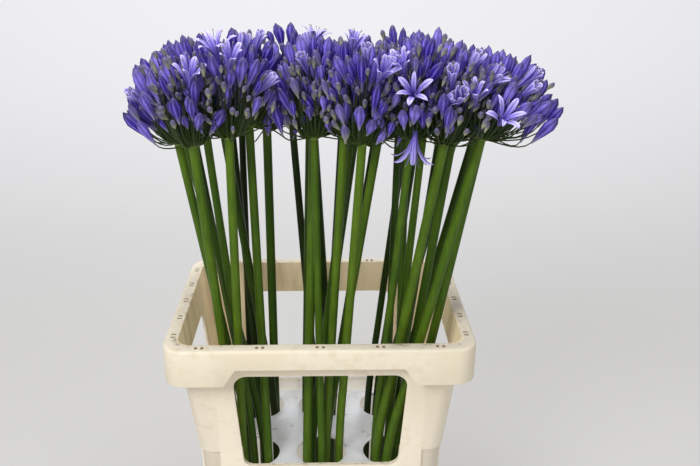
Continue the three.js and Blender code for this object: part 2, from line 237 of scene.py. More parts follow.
paper = Finish("studio_paper")
# Painted shade: the sheet is darker towards the floor and the front.
fade = paper.ramp(paper.coordinate("Y") + paper.coordinate("Z"), FADE_FROM, FADE_TO)
colour = paper.blend(fade, SHEET_GREY, SHEET_PALE)
paper.surface({
    "Base Color": paper.blend(SHEET_DARKER, colour, BLACK),
    "Roughness": 0.9,
    "Emission Color": colour,
    "Emission Strength": SHEET_GLOW,
})
paper.apply(sheet)

for name, place, size, power in LIGHTS:
    data = bpy.data.lights.new(name, "AREA")
    data.shape = "SQUARE"
    data.size = size
    data.energy = power
    lamp = put(name, data)
    lamp.location = place
    lamp.rotation_euler = (LIGHTS_AIM - lamp.location).to_track_quat("-Z", "Y").to_euler()

room = bpy.data.worlds.new("room")
room.use_nodes = True
room.node_tree.nodes["Background"].inputs["Color"].default_value = ROOM_GLOW
room.node_tree.nodes["Background"].inputs["Strength"].default_value = ROOM_STRENGTH
bpy.context.scene.world = room
bpy.context.scene.view_settings.view_transform = "Standard"

lens = bpy.data.cameras.new("camera")
lens.sensor_width = SENSOR
lens.lens = SENSOR * FOCAL_PIXELS / FRAME_WIDTH
camera = put("camera", lens)
camera.location = CAMERA_PLACE
aim = Matrix.Rotation(-CAMERA_YAW, 3, "Z") @ Matrix.Rotation(math.pi / 2 - CAMERA_PITCH, 3, "X")
camera.rotation_euler = (aim @ Matrix.Rotation(CAMERA_ROLL, 3, "Z")).to_euler()
bpy.context.scene.camera = camera


# ---- crate ----------------------------------------------------------------------------
# A tapered tub of cream polypropylene, moulded in one piece, with a window in each wall,
# a flat rim with a hanging skirt, and corners that step in about half-way down. Two ledges
# inside the end walls carry the tray. The rim has pairs of small moulded slots.

CRATE_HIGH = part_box("crate")[1]
TOP = CRATE_HIGH.z
RIM_HALF = Vector((CRATE_HIGH.x, CRATE_HIGH.y))
CORNER = 0.028
CORNER_STEPS = 7
RIM_ROUND, RIM_ROUND_STEPS = 0.004, 4
RIM_THICKNESS, SKIRT_THICKNESS = 0.0035, 0.003
SKIRT_DROP, SKIRT_NOTCH_RISE = 0.0505, 0.0235
NOTCH_LOW, NOTCH_HIGH = 0.077, 0.0925  # from the rim's ends to the foot and head of its slant
WALL, FLOOR = 0.0035, 0.004
BODY_INSET = 0.014  # the tub's wall, in from the rim's edge at the top
BODY_CORNER, STEP_CORNER, FLOOR_CORNER = 0.024, 0.021, 0.0165
STEP_DROP, STEP_IN = 0.1715, 0.0035
PANEL_INSET = 0.0635  # from the rim's ends to the edge of the flush wall panels
PANEL_SLANT = 0.0006
PANEL_HALF = RIM_HALF - Vector((1, 1)) * (PANEL_INSET - PANEL_SLANT / 2)
UPPER_TAPER, LOWER_TAPER = math.tan(math.radians(6.1)), math.tan(math.radians(2.5))
WINDOW_TOP, WINDOW_BOTTOM, WINDOW_LEAN = 0.047, 0.197, 0.009
WINDOW_HALVES = {"front": 0.114, "side": 0.062}
WINDOW_ROUND_TOP, WINDOW_ROUND_BOTTOM = 0.019, 0.014
EDGE_ROUND = 0.0009
LEDGE_LENGTH, LEDGE_REACH, LEDGE_HEIGHT, LEDGE_ROUND = 0.160, 0.010, 0.012, 0.003
TRAY_THICKNESS, TRAY_GAP = 0.002, 0.0003  # the sheet that lies on the ledges
SLOT_LENGTH, SLOT_WIDTH, SLOT_DEPTH, SLOT_GAP = 0.0064, 0.0038, 0.0010, 0.0060
SLOT_BOW = 0.0012
SLOT_PITCH_LONG, SLOT_PITCH_SHORT = 0.0761, 0.053
RIM_MIDDLE = 0.0105  # from the rim's outer edge to the middle of its flat top
SHARP, CURVED = 32, 38  # edges are rounded from the one angle, and shaded smooth below the other
HAIR, NEAR = 1e-5, 1e-4  # too small to see, and near enough to be the same place

CREAM = (0.80, 0.705, 0.535, 1)
CREAM_PALE = (0.86, 0.78, 0.62, 1)
CREAM_PAINTED_LIGHT = (0.93, 0.835, 0.675, 1)  # painted light: the walls below the rim, and the rim's flat top
CREAM_SHADED = (0.74, 0.655, 0.525, 1)  # the corners below the step
CREAM_AGED = (0.70, 0.58, 0.38, 1)
CREAM_INSIDE = (0.84, 0.70, 0.46, 1)
INSIDE_GLOW, LOW_GLOW = (0.40, 0.30, 0.163, 1), (0.86, 0.83, 0.80, 1)
GLOW_STRENGTH = 0.35  # light that comes through the wall, and low down off the tray
STAIN = (0.34, 0.24, 0.13, 1)
GRIME = (0.10, 0.075, 0.05, 1)
# real dirt and painted shade on the floors of the rim's slots
SLOT_DIRT_AND_SHADE = (0.27, 0.18, 0.10, 1)


def body_inset(height):
    """How far the tub's outer wall stands in from the rim's edge at some height."""
    step = TOP - STEP_DROP
    upper = BODY_INSET + (TOP - max(height, step)) * UPPER_TAPER
    return upper + max(0.0, step - height) * LOWER_TAPER


def selected_vertices():
    """In edit mode, gives what is selected one by one, and then updates the mesh."""
    mesh = bpy.context.object.data
    edit = bmesh.from_edit_mesh(mesh)
    for vertex in edit.verts:
        if vertex.select:
            yield vertex
    bmesh.update_edit_mesh(mesh)


def split_across(axis, distance):
    """In edit mode, adds edges where a plane across X or Y cuts the mesh."""
    point, normal = [0, 0, 0], [0, 0, 0]
    point[axis], normal[axis] = distance, 1
    bpy.ops.mesh.select_all(action="SELECT")
    bpy.ops.mesh.bisect(plane_co=point, plane_no=normal)


def face_outward():
    """In edit mode, turns the outer side of every face outward."""
    bpy.ops.mesh.select_all(action="SELECT")
    bpy.ops.mesh.normals_make_consistent(inside=False)


def draw_loops(stations):
    """Extrudes the selected loop through (height, inset, corner radius, corner recess)."""
    for before, after in zip(stations, stations[1:]):
        bpy.ops.mesh.extrude_region_move()
        for vertex in selected_vertices():
            in_corner = all(abs(c) > p for c, p in zip(vertex.co, PANEL_HALF))
            for axis in (0, 1):
                cores = []
                for _, inset, radius, recess in (before, after):
                    cores.append(RIM_HALF[axis] - inset - radius - recess * in_corner)
                core = math.copysign(min(abs(vertex.co[axis]), cores[0]), vertex.co[axis])
                outward = (vertex.co[axis] - core) / before[2]
                if abs(vertex.co[axis]) > cores[0] - HAIR:
                    core = math.copysign(cores[1], vertex.co[axis])
                vertex.co[axis] = core + outward * after[2]
            if after[0] is not None:
                vertex.co.z = after[0]


def modify(piece, kind, **settings):
    """Adds a modifier to a piece, and applies it."""
    bpy.context.view_layer.objects.active = piece
    modifier = piece.modifiers.new(kind, kind)
    for name, value in settings.items():
        setattr(modifier, name, value)
    bpy.ops.object.modifier_apply(modifier=modifier.name)


def cut(piece, cutter, operation="DIFFERENCE"):
    """Cuts a cutter out of a piece, or joins it on, and removes the cutter."""
    modify(piece, "BOOLEAN", operation=operation, solver="EXACT", object=cutter)
    bpy.data.objects.remove(cutter)


def soften(piece, width, from_angle):
    """Rounds a piece's sharp edges a little."""
    limit = {"limit_method": "ANGLE", "angle_limit": math.radians(from_angle)}
    modify(piece, "BEVEL", width=width, segments=2, **limit)


def choose(piece):
    """Makes a piece the active object, and the only selected one."""
    bpy.ops.object.select_all(action="DESELECT")
    piece.select_set(True)
    bpy.context.view_layer.objects.active = piece


def smooth(piece, below_angle):
    """Shades a piece smooth over all but its sharper edges."""
    choose(piece)
    bpy.ops.object.shade_smooth_by_angle(angle=math.radians(below_angle))


def window_cutter(half, along_x):
    """A prism a metre deep through two walls: round-cornered, and narrower at the bottom."""
    height = WINDOW_BOTTOM - WINDOW_TOP
    middle = TOP - (WINDOW_TOP + WINDOW_BOTTOM) / 2
    cutter = primitive(bpy.ops.mesh.primitive_cube_add, size=1, location=(0, 0, middle))
    stretch(cutter, (2 * half, 1, height))
    bpy.ops.object.mode_set(mode="EDIT")
    pick("VERT", lambda vertex: vertex.co.z < middle)
    bpy.ops.transform.resize(value=((half - WINDOW_LEAN) / half, 1, 1), center_override=(0, 0, 0))
    for is_top, rounding in ((True, WINDOW_ROUND_TOP), (False, WINDOW_ROUND_BOTTOM)):

        def lengthwise(edge):
            first, second = (vertex.co for vertex in edge.verts)
            ends = abs(first.x) > half / 2 and (first.z > middle) == is_top
            return ends and abs(first.y - second.y) > 0.9

        pick("EDGE", lengthwise)
        bpy.ops.mesh.bevel(offset=rounding, segments=CORNER_STEPS, affect="EDGES")
    bpy.ops.object.mode_set(mode="OBJECT")
    if along_x:
        cutter.rotation_euler.z = math.pi / 2
        bpy.ops.object.transform_apply(location=False, rotation=True, scale=False)
    return cutter


def slot_cutter(places):
    """Small curved bars, one for each (place, turn) on the rim."""
    bar = primitive(bpy.ops.mesh.primitive_grid_add, x_subdivisions=1, y_subdivisions=6, size=1)
    stretch(bar, (SLOT_WIDTH, SLOT_LENGTH, 1))
    for vertex in bar.data.vertices:
        vertex.co.x += SLOT_BOW * (1 - (2 * vertex.co.y / SLOT_LENGTH) ** 2)
    bpy.ops.object.mode_set(mode="EDIT")
    bpy.ops.mesh.select_all(action="SELECT")
    extrude_up(2 * SLOT_DEPTH)
    face_outward()
    bpy.ops.object.mode_set(mode="OBJECT")
    copies = bmesh.new()
    for (x, y), turn in places:
        mesh = bar.data.copy()
        mesh.transform(Matrix.Translation((x, y, TOP - SLOT_DEPTH)) @ Matrix.Rotation(turn, 4, "Z"))
        copies.from_mesh(mesh)
        bpy.data.meshes.remove(mesh)
    copies.to_mesh(bar.data)
    copies.free()
    return bar


def mark(mesh, name, values):
    """Stores one number for each vertex, for a material to read."""
    attribute = mesh.attributes.get(name) or mesh.attributes.new(name, "FLOAT", "POINT")
    attribute.data.foreach_set("value", np.broadcast_to(values, len(mesh.vertices)).astype("f"))


def places_of(mesh):
    """All of a mesh's vertices as rows of x, y and z."""
    flat = np.empty(3 * len(mesh.vertices), "f")
    mesh.vertices.foreach_get("co", flat)
    return flat.reshape(-1, 3)


def wall_depths(points):
    """How far in from the tub's outer wall each point lies, at the point's own height."""
    insets = np.array([body_inset(height) for height in points[:, 2]])
    cores = np.array(RIM_HALF) - insets[:, None] - BODY_CORNER
    return BODY_CORNER - np.linalg.norm(np.maximum(np.abs(points[:, :2]) - cores, 0), axis=1)


crate = primitive(bpy.ops.mesh.primitive_plane_add, size=1)
crate.name = "crate_moulding"
crate.location.z = TOP - SKIRT_DROP
stretch(crate, (2 * RIM_HALF.x, 2 * RIM_HALF.y, 1))
bpy.ops.object.mode_set(mode="EDIT")
bpy.ops.mesh.select_all(action="SELECT")
bpy.ops.mesh.bevel(offset=CORNER, segments=CORNER_STEPS, affect="VERTICES")

# The rim's outline gets a corner wherever the skirt or a wall panel will change.
for inset in (PANEL_INSET, PANEL_INSET - PANEL_SLANT, NOTCH_LOW, NOTCH_HIGH):
    for axis in (0, 1):
        for side in (-1, 1):
            split_across(axis, side * (RIM_HALF[axis] - inset))
bpy.ops.mesh.select_mode(type="FACE")
bpy.ops.mesh.select_all(action="SELECT")
bpy.ops.mesh.region_to_loop()
bpy.ops.mesh.select_all(action="INVERT")
bpy.ops.mesh.delete(type="EDGE_FACE")
notch = RIM_HALF - Vector((1, 1)) * (NOTCH_HIGH - NEAR)
pick("VERT", lambda vertex: abs(vertex.co.x) < notch.x or abs(vertex.co.y) < notch.y)
bpy.ops.transform.translate(value=(0, 0, SKIRT_NOTCH_RISE))

# From the skirt's hem over the rim, down inside the tub and across its floor.
step_top = TOP - STEP_DROP
shelf = step_top + WALL
rim_edge = [(None, 0, CORNER, 0)]
for number in range(RIM_ROUND_STEPS + 1):
    angle = number / RIM_ROUND_STEPS * math.pi / 2
    inset = RIM_ROUND * (1 - math.cos(angle))
    rim_edge.append((TOP - RIM_ROUND * (1 - math.sin(angle)), inset, CORNER - inset, 0))
pick("EDGE", lambda edge: True)
draw_loops(rim_edge + [
    (TOP, BODY_INSET + WALL, BODY_CORNER - WALL, 0),
    (shelf, body_inset(shelf) + WALL, BODY_CORNER - WALL, 0),
    (shelf, body_inset(step_top) + STEP_IN + WALL, STEP_CORNER - WALL, 0),
    (FLOOR, body_inset(FLOOR) + STEP_IN + WALL, FLOOR_CORNER - WALL, 0),
])
bpy.ops.mesh.edge_face_add()

# From the hem up inside the skirt, under the rim and down the outside of the tub, whose
# corners stand back from the wall panels below the step.
pick("EDGE", lambda edge: edge.is_boundary)
under = TOP - RIM_THICKNESS
draw_loops([
    (None, 0, CORNER, 0),
    (None, SKIRT_THICKNESS, CORNER - SKIRT_THICKNESS, 0),
    (under, SKIRT_THICKNESS, CORNER - SKIRT_THICKNESS, 0),
    (under, body_inset(under), BODY_CORNER, 0),
    (step_top, body_inset(step_top), BODY_CORNER, 0),
    (step_top - HAIR, body_inset(step_top), STEP_CORNER, STEP_IN),
    (0, body_inset(0), FLOOR_CORNER, STEP_IN),
])
bpy.ops.mesh.edge_face_add()
face_outward()
bpy.ops.object.mode_set(mode="OBJECT")

tray_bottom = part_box("stem_tray")[1].z - TRAY_THICKNESS
for side in (-1, 1):
    inner = RIM_HALF.x - body_inset(tray_bottom) - STEP_IN - WALL / 2
    reach = LEDGE_REACH + WALL / 2
    middle = (side * (inner - reach / 2), 0, tray_bottom - TRAY_GAP - LEDGE_HEIGHT / 2)
    ledge = primitive(bpy.ops.mesh.primitive_cube_add, size=1, location=middle)
    stretch(ledge, (reach, LEDGE_LENGTH, LEDGE_HEIGHT))
    bpy.ops.object.mode_set(mode="EDIT")
    pick("EDGE", upright)
    bpy.ops.mesh.bevel(offset=LEDGE_ROUND, segments=3, affect="EDGES")
    bpy.ops.object.mode_set(mode="OBJECT")
    cut(crate, ledge, "UNION")
cut(crate, window_cutter(WINDOW_HALVES["front"], along_x=False))
cut(crate, window_cutter(WINDOW_HALVES["side"], along_x=True))
soften(crate, EDGE_ROUND, SHARP)

slots = []
for number in range(-2, 3):
    for side in (-1, 1):
        for half in (-1, 1):
            along = number * SLOT_PITCH_LONG + half * SLOT_GAP / 2
            across = side * (RIM_HALF.y - RIM_MIDDLE)
            slots.append(((along, across), 0 if half > 0 else math.pi))
            along = number * SLOT_PITCH_SHORT + half * SLOT_GAP / 2
            across = side * (RIM_HALF.x - RIM_MIDDLE)
            slots.append(((across, along), math.pi / 2 if half > 0 else -math.pi / 2))
cut(crate, slot_cutter(slots))
smooth(crate, CURVED)

# What the material needs to know: where the walls' inner sides, the corners' lower parts
# and the slots' floors are.
points = places_of(crate.data)
depths = wall_depths(points)
stepped_in = points[:, 2] < step_top + NEAR
inner_wall = WALL / 2 + STEP_IN * stepped_in
slot_floor = np.abs(points[:, 2] - TOP + SLOT_DEPTH) < NEAR
from_edge = (np.array(RIM_HALF) - np.abs(points[:, :2])).min(axis=1)
mark(crate.data, "inside", depths > inner_wall)
mark(crate.data, "recess", (depths > 0.4 * STEP_IN) & (depths < inner_wall) & stepped_in)
mark(crate.data, "slot", slot_floor & (from_edge > RIM_ROUND))

plastic = Finish("cream_polypropylene")
cloud = plastic.noise(0.11, detail=4)
fine = plastic.noise(0.012, detail=5)
specks = plastic.noise(0.0028, detail=2)
streaks = plastic.noise(0.02, scale=(1, 1, 0.12), detail=5)
scuffs = plastic.noise(0.006, scale=(1, 1, 4), detail=4)
height = plastic.coordinate("Z")
inward = plastic.stored("inside")
inside = plastic.ramp(inward, 0.75, 1.0)
sill = TOP - WINDOW_BOTTOM
above_sill = plastic.ramp(height, sill - 0.006, sill + 0.006)

# Painted light: the walls are lighter below the rim, and so is the rim's flat top.
below_rim = 1 - plastic.ramp(height, TOP - 0.16, TOP - 0.04)
rim_top = plastic.ramp(height, TOP - 0.003, TOP)
recess = plastic.ramp(plastic.stored("recess"), 0.3, 0.9)
aged = plastic.ramp(fine * 0.5 + cloud * 0.5, 0.5, 0.68)
streaked = plastic.ramp(streaks * 0.6 + cloud * 0.4, 0.50, 0.66)
scuffed = plastic.ramp(scuffs, 0.66, 0.74) * plastic.ramp(cloud, 0.45, 0.6)
dots = plastic.ramp(specks, 0.735, 0.78)
by_edge = plastic.ramp(inward, 0.40, 0.85) * (1 - inside) * plastic.ramp(fine, 0.48, 0.66)
colour = plastic.layers(
    CREAM,
    (plastic.ramp(cloud, 0.35, 0.7), CREAM_PALE),
    (below_rim * 0.8, CREAM_PAINTED_LIGHT),
    (rim_top * 0.6, CREAM_PAINTED_LIGHT),
    (recess * 0.9, CREAM_SHADED),
    (aged * 0.45, CREAM_AGED),
    (inside * above_sill * 0.75, CREAM_INSIDE),
    (streaked * inside * 0.55, STAIN),
    (scuffed * 0.35, STAIN),
    (dots * 0.55, GRIME),
    (by_edge * 0.7, GRIME),
    # Dirt and painted shade on the slots' floors.
    (plastic.ramp(plastic.stored("slot"), 0.3, 0.9), SLOT_DIRT_AND_SHADE),
)
low = inside * (1 - above_sill)
plastic.surface({
    "Base Color": colour,
    "Roughness": 0.42 + 0.22 * fine,
    "Specular IOR Level": 0.4,
    "Normal": plastic.bump(fine + 0.4 * specks, 0.0004, 0.5),
    "Emission Color": plastic.layers(BLACK, (inside, INSIDE_GLOW), (low, LOW_GLOW)),
    "Emission Strength": GLOW_STRENGTH,
})
plastic.apply(crate)
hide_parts("crate")
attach(crate, "root")


# ---- tray -----------------------------------------------------------------------------
# A sheet-steel tray that rests on the crate's two ledges, with six round holes for the
# stems. Its front and back edges are folded down between the corners.

TRAY_LOW, TRAY_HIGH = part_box("stem_tray")
TRAY_HALF = Vector((TRAY_HIGH.x, TRAY_HIGH.y))
TRAY_CORNER, TRAY_CORNER_STEPS = 0.026, 9
LIP_HALF, FOLD, FOLD_STEPS = 0.126, 0.003, 5
HOLE_RADIUS, HOLE_SIDES = 0.036, 56
HOLE_COLUMNS, HOLE_ROW = (-0.096, 0.0, 0.096), 0.060
DRILL_DEPTH = 0.02
TRAY_EDGE, TRAY_SHARP, TRAY_CURVED = 0.0004, 40, 35

STEEL = (0.88, 0.89, 0.91, 1)
STEEL_DULL = (0.66, 0.66, 0.66, 1)
WATER_MARK = (0.20, 0.17, 0.13, 1)
PAINTED_ROOM_IN_STEEL = 0.14  # painted reflection: how strongly the sheet glows in its own colour, for the pale room it would mirror even in the crate

tray = primitive(bpy.ops.mesh.primitive_plane_add, size=1, location=(0, 0, TRAY_HIGH.z))
tray.name = "tray_sheet"
stretch(tray, (2 * TRAY_HALF.x, 2 * TRAY_HALF.y, 1))
bpy.ops.object.mode_set(mode="EDIT")
bpy.ops.mesh.select_all(action="SELECT")
bpy.ops.mesh.bevel(offset=TRAY_CORNER, segments=TRAY_CORNER_STEPS, affect="VERTICES")
for axis, distance in ((0, LIP_HALF), (1, TRAY_HALF.y - FOLD)):
    for side in (-1, 1):
        split_across(axis, side * distance)


def fold_strip(face):
    """Whether a face lies where the sheet will be folded down."""
    middle = face.calc_center_median()
    return abs(middle.x) < LIP_HALF and abs(middle.y) > TRAY_HALF.y - FOLD


pick("FACE", fold_strip)
bpy.ops.mesh.delete(type="FACE")
pick("EDGE", lambda edge: edge.is_boundary and all(
    abs(abs(vertex.co.y) - TRAY_HALF.y + FOLD) < HAIR and abs(vertex.co.x) < LIP_HALF + HAIR
    for vertex in edge.verts
))
for number in range(1, FOLD_STEPS + 2):
    bpy.ops.mesh.extrude_region_move()
    angle = min(number / FOLD_STEPS, 1) * math.pi / 2
    for vertex in selected_vertices():
        out = TRAY_HALF.y - FOLD + FOLD * math.sin(angle)
        vertex.co.y = math.copysign(out, vertex.co.y)
        vertex.co.z = TRAY_HIGH.z - FOLD * (1 - math.cos(angle))
        if number > FOLD_STEPS:
            vertex.co.z = TRAY_LOW.z
face_outward()
pick("FACE", lambda face: face.normal.z < -0.5)
if tray.data.total_face_sel:
    bpy.ops.mesh.select_all(action="SELECT")
    bpy.ops.mesh.flip_normals()
bpy.ops.object.mode_set(mode="OBJECT")
modify(tray, "SOLIDIFY", thickness=TRAY_THICKNESS, offset=-1)
drill = {"radius": HOLE_RADIUS, "depth": DRILL_DEPTH, "vertices": HOLE_SIDES}
for x in HOLE_COLUMNS:
    for y in (-HOLE_ROW, HOLE_ROW):
        place = (x, y, TRAY_HIGH.z)
        cut(tray, primitive(bpy.ops.mesh.primitive_cylinder_add, location=place, **drill))
soften(tray, TRAY_EDGE, TRAY_SHARP)
smooth(tray, TRAY_CURVED)

steel = Finish("satin_steel")
patches = steel.noise(0.045, detail=4)
scratches = steel.noise(0.0012, scale=(0.05, 1, 1))
crossing = steel.noise(0.0015, scale=(1, 0.04, 1))
marks = steel.ramp(steel.noise(0.018, detail=5), 0.60, 0.72)
dull = steel.ramp(patches, 0.4, 0.7)
colour = steel.layers(STEEL, (dull * 0.5, STEEL_DULL), (marks * 0.3, WATER_MARK))
steel.surface({
    "Base Color": colour,
    "Metallic": 0.55,
    "Roughness": 0.38 + 0.18 * patches + 0.12 * scratches,
    "Normal": steel.bump(scratches + crossing, 0.00008, 0.6),
    "Emission Color": colour,
    "Emission Strength": PAINTED_ROOM_IN_STEEL,
})
steel.apply(tray)
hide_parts("stem_tray")
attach(tray, "root")


# ---- scapes ---------------------------------------------------------------------------
# Thirty-eight smooth leafless stems. Each stands on the crate's floor, passes its hole in
# the tray and leans straight out to its umbel, and each has its own thickness and green,
# with painted shade that darkens the stems farther back.

SCAPE_COUNT = 38
RING_VERTICES = 5  # in a ring of a scape's solid
SCAPE_RADII = (0.0051, 0.0065)
SCAPE_SHARES = (1.0, 1.02, 1.0, 0.98, 0.96, 0.93, 0.90)  # of the radius, from foot to neck
SCAPE_SIDES, SCAPE_STEPS = 12, 6
SCAPE_FRONT, SCAPE_BACK = -0.12, 0.12  # painted shade, from light at the front to dark at the back
TINT_FRONT, SHADE_FALL, TINT_VARIES = 0.85, 0.75, (-0.25, 0.15)
SCAPE_SEED = 11

SCAPE_DARK = (0.010, 0.020, 0.003, 1)
SCAPE_MIDDLE = (0.037, 0.087, 0.004, 1)
SCAPE_LIGHT = (0.105, 0.185, 0.010, 1)
SCAPE_SCAR = (0.030, 0.028, 0.012, 1)


def ring_middles(node):
    """The middles of the rings that a scape's solid is drawn through, from the foot up."""
    spots = {tuple(round(c, 6) for c in vertex.co) for vertex in node.data.vertices}
    rising = sorted(spots, key=lambda spot: spot[2])
    rings = [rising[i:i + RING_VERTICES] for i in range(0, len(rising), RING_VERTICES)]
    return [Vector(np.mean(ring, axis=0)) for ring in rings]


def tube(name, splines, radius, sides, steps):
    """A mesh of round tubes, each through (point, handle before, handle after, share)."""
    curve = bpy.data.curves.new(name, "CURVE")
    curve.dimensions = "3D"
    curve.bevel_depth = radius
    curve.bevel_resolution = (sides - 4) // 2
    curve.resolution_u = steps
    curve.use_fill_caps = True
    for points in splines:
        spline = curve.splines.new("BEZIER")
        spline.bezier_points.add(len(points) - 1)
        for knot, (place, before, after, share) in zip(spline.bezier_points, points):
            knot.co = place
            if before is None:
                knot.handle_left_type = knot.handle_right_type = "AUTO"
            else:
                knot.handle_left_type = knot.handle_right_type = "FREE"
                knot.handle_left, knot.handle_right = before, after
            knot.radius = share
    choose(put(name, curve))
    bpy.ops.object.convert(target="MESH")
    made = bpy.context.object
    made.data.name = name
    return made


random.seed(SCAPE_SEED)
scapes = []
scape_lines = []
for number in range(1, SCAPE_COUNT + 1):
    node = f"scape_{number:02d}"
    middles = ring_middles(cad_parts[node])
    thickness = random.uniform(*SCAPE_RADII)
    line = [(place, None, None, share) for place, share in zip(middles, SCAPE_SHARES)]
    stem = tube(f"{node}_stem", [line], thickness, SCAPE_SIDES, SCAPE_STEPS)
    heights = places_of(stem.data)[:, 2]
    mark(stem.data, "rise", (heights - heights.min()) / (heights.max() - heights.min()))
    # Painted shade: the farther back a scape's umbel stands, the darker its green, on top of its
    # own random green.
    depth = (middles[-1].y - SCAPE_FRONT) / (SCAPE_BACK - SCAPE_FRONT)
    mark(stem.data, "tint_and_shade", TINT_FRONT - SHADE_FALL * depth + random.uniform(*TINT_VARIES))
    bpy.ops.object.shade_smooth()
    scapes.append(stem)
    scape_lines.append(middles)
    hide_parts(node)
    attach(stem, "root")

green = Finish("scape_green")
streaks = green.noise(0.0022, scale=(1, 1, 0.04))
patches = green.noise(0.05)
scars = green.noise(0.004, scale=(1, 1, 0.5), detail=2)
shade = green.stored("tint_and_shade") * 0.6 + streaks * 0.35 + patches * 0.35 - 0.12
colour = green.layers(
    SCAPE_DARK,
    (green.ramp(shade, 0.15, 0.55), SCAPE_MIDDLE),
    (green.ramp(shade, 0.5, 0.95), SCAPE_LIGHT),
    (green.ramp(green.stored("rise"), 0.90, 1.0) * 0.4, SCAPE_LIGHT),
    (green.ramp(scars, 0.76, 0.80) * 0.7, SCAPE_SCAR),
)
green.surface({
    "Base Color": colour,
    "Roughness": 0.33 + 0.16 * streaks,
    "Specular IOR Level": 0.18,
    "Normal": green.bump(streaks, 0.0003, 0.4),
})
green.apply(*scapes)


# ---- umbels ---------------------------------------------------------------------------
# Each scape ends in a ball of florets on thin arching pedicels: long violet-blue buds all
# round, small green ones deeper in, and a few open flowers. The umbels at the right are
# wider and looser. Two buds and four flowers are modelled, and then copied.

BUNCHES = (
    ("umbels_front_left", 1, 6),
    ("umbels_back_left", 7, 13),
    ("umbels_front_middle", 14, 19),
    ("umbels_back_middle", 20, 25),
    ("umbels_front_right", 26, 32),
    ("umbels_back_right", 33, 38),
)
UMBEL_SIDE, UMBEL_LOOSE_SIDE = 0.057, 0.080
LOOSE_FROM, LOOSE_TO, LOOSEST = 0.110, 0.200, 1.2
UMBEL_CENTRE, UMBEL_TOP = 0.050, 0.124
OUTER_FROM, OUTER_TO = 0.11, 0.17  # umbels farther out to the sides are flatter
OUTER_DROP, OUTER_LIFT = 0.014, 0.26
FLORET_COUNT = 79
HIGHEST, LOWEST = 0.99, -0.34
GOLDEN_TURN = math.pi * (3 - math.sqrt(5))
UMBEL_SEED = 23
TRIES = 14
POLAR_VARIES, TURN_VARIES, LOOSENING = 0.10, 0.15, 0.3  # and by how much more with each try
SHRINKING = 0.012  # of a bud's reach with each try
CROWDING = 0.90  # how close two florets may come, as a share of their radii together
NEAR_HEIGHT, NEAR_REACH = 0.06, 0.17  # where an umbel can meet others
NECK_FROM = 3  # the ring of a scape above which balls along it keep the florets off
SCAPE_BALL, SCAPE_BALLS = 0.0055, 12  # their radius, and how many for each stretch
FLORET_BALLS = ((0.15, 0.45), (0.4, 0.8), (0.65, 1.0), (0.88, 0.7))

# For each kind of bud: how many, their sizes, how far their tips reach towards the
# umbel's outline, how far they lean out from upright, and their age from green to violet.
KINDS = {
    "large": {
        "share": 0.28, "length": (0.033, 0.048), "radius": (0.0054, 0.0075),
        "reach": (0.90, 1.05), "lean": (0.25, 1.10), "age": (0.72, 1.0),
    },
    "middling": {
        "share": 0.23, "length": (0.021, 0.032), "radius": (0.0040, 0.0054),
        "reach": (0.78, 1.00), "lean": (0.20, 1.00), "age": (0.45, 0.85),
    },
    "small": {
        "share": 0.49, "length": (0.010, 0.018), "radius": (0.0028, 0.0040),
        "reach": (0.58, 0.98), "lean": (0.2, 1.1), "age": (0.0, 0.45),
    },
}
LARGE_TO = 1.66  # how far from the top the large buds go, as an angle
HANGING_FROM, HANGING_SHARE, HANGING_LEAN = 1.45, 0.07, (0.8, -0.7)  # of the lowest buds
BACK_FROM, BACK_SHADE = 0.04, 0.5  # painted shade: the umbels at the back are darker

# Flowers that stand open, half open or hang down, by their umbel: how far down from its top
# and how far about it, in degrees.
FLOWERS = {
    1: (("half", 60, 290),),
    2: (("open", 35, 320),),
    3: (("star", 20, 225), ("open", 35, 280), ("half", 25, 10), ("half", 72, 350)),
    5: (("half", 30, 120),),
    14: (("half", 40, 290),),
    15: (("open", 10, 270),),
    16: (("half", 12, 230), ("open", 40, 280), ("half", 35, 320)),
    19: (("half", 15, 0),),
    25: (("star", 15, 150),),
    26: (("star", 65, 235), ("open", 40, 200), ("half", 75, 290), ("hang", 150, 250)),
    27: (("half", 40, 200), ("half", 60, 220), ("open", 45, 300), ("half", 15, 280)),
    28: (
        ("open", 65, 165), ("star", 82, 200),
        ("half", 35, 250), ("half", 50, 230), ("half", 85, 320),
    ),
    29: (("half", 85, 190), ("half", 90, 230)),
    32: (("open", 80, 350), ("half", 60, 340), ("half", 92, 300)),
}
FLOWER_SIZES = {  # the length and radius of the room that each kind takes
    "star": (0.036, 0.0135), "open": (0.036, 0.0100),
    "half": (0.038, 0.0075), "hang": (0.034, 0.0120),
}
FLOWER_LEAN, HANGING_FLOWER_LEAN = (0.7, 1.3), (0.25, -1.0)
FLOWER_SCALE = (0.92, 1.08)

BUD_SIDES = 12
BUD_STATIONS = ((0.0, 0.16), (0.15, 0.32), (0.42, 0.74), (0.66, 1.0), (0.86, 0.68))
SMALL_BUD_SIDES = 6
SMALL_BUD_STATIONS = ((0.0, 0.16), (0.25, 0.55), (0.62, 1.0), (0.86, 0.72))
BUD_GROOVE = 0.86

